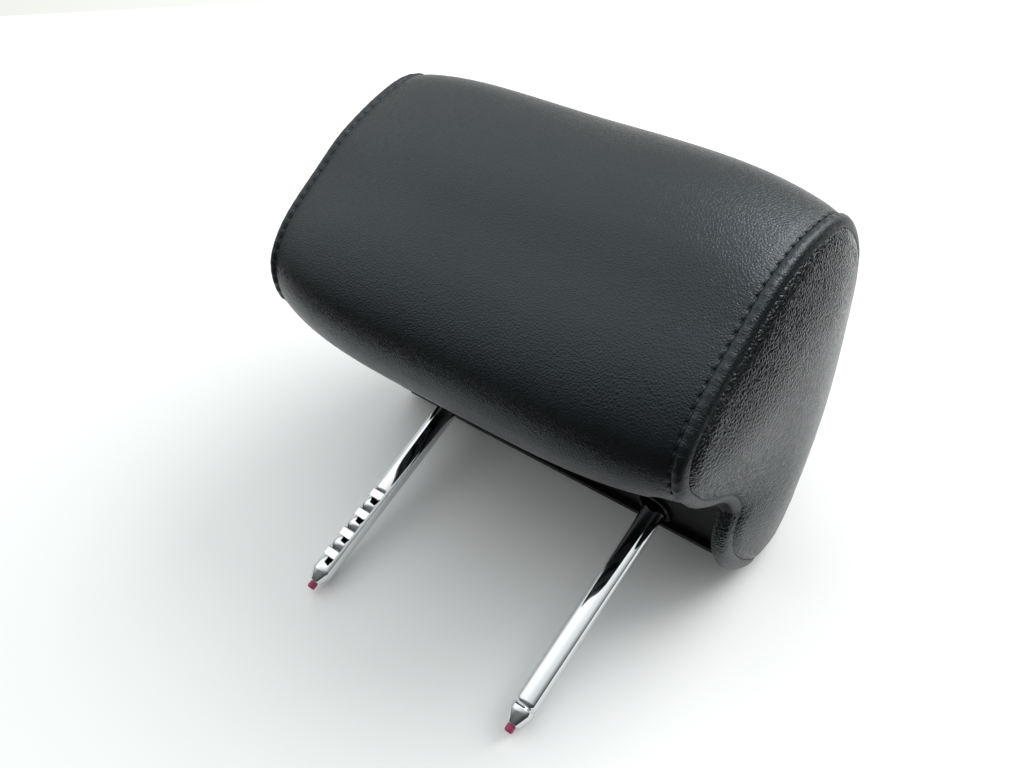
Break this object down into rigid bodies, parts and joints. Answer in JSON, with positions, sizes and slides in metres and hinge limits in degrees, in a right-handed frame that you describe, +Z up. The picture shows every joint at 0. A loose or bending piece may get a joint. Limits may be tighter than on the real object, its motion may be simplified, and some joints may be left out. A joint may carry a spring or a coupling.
{
  "type": "car seat headrest",
  "caption": "Padded leather car headrest on two chromed posts, with an open trough under the cushion and a forward tilt.",
  "frame": {"origin": "midway between the lower ends of the two posts, where the seat's sockets take them", "axes": "+Z up along the posts, -Y towards the occupant's head, +X along the crossbar to the side whose panel the picture shows"},
  "size_m": [0.2558, 0.184, 0.254],
  "materials": {
    "chrome": "bright chrome plate on steel tube",
    "red_plastic": "moulded red plastic, slightly glossy",
    "black_plastic": "fine matt black moulding",
    "zinc_steel": "zinc plated",
    "nylon": "natural nylon",
    "spring_steel": "bare spring steel",
    "foam": "moulded seat foam",
    "leather": "soft satin leather with a fine grain",
    "side_leather": "glossier leather with a coarse pebble grain"
  },
  "bodies": {
    "posts": {"post_frame": "chrome", "left_post_plug": "red_plastic", "right_post_plug": "red_plastic"},
    "cushion": {"lower_carrier_shell": "black_plastic", "upper_carrier_shell": "black_plastic", "carrier_screw_1": "zinc_steel", "carrier_screw_2": "zinc_steel", "carrier_screw_3": "zinc_steel", "carrier_screw_4": "zinc_steel", "bearing_cap_screw_1": "zinc_steel", "bearing_cap_screw_2": "zinc_steel", "bearing_cap_screw_3": "zinc_steel", "bearing_cap_screw_4": "zinc_steel", "left_bearing_bush": "nylon", "right_bearing_bush": "nylon", "left_bearing_cap": "black_plastic", "right_bearing_cap": "black_plastic", "left_friction_spring": "spring_steel", "right_friction_spring": "spring_steel", "foam_pad": "foam", "main_cover": "leather", "left_side_panel": "side_leather", "right_side_panel": "side_leather", "bottom_gusset": "side_leather", "trough_trim": "black_plastic", "front_cover_strip": "black_plastic", "rear_cover_strip": "black_plastic"}
  },
  "joints": [
    {"name": "cushion_tilt", "type": "hinge", "parent": "posts", "child": "cushion", "pos_m": [0, 0, 0.155], "axis": [1, 0, 0], "range_deg": [0, 15]}
  ]
}
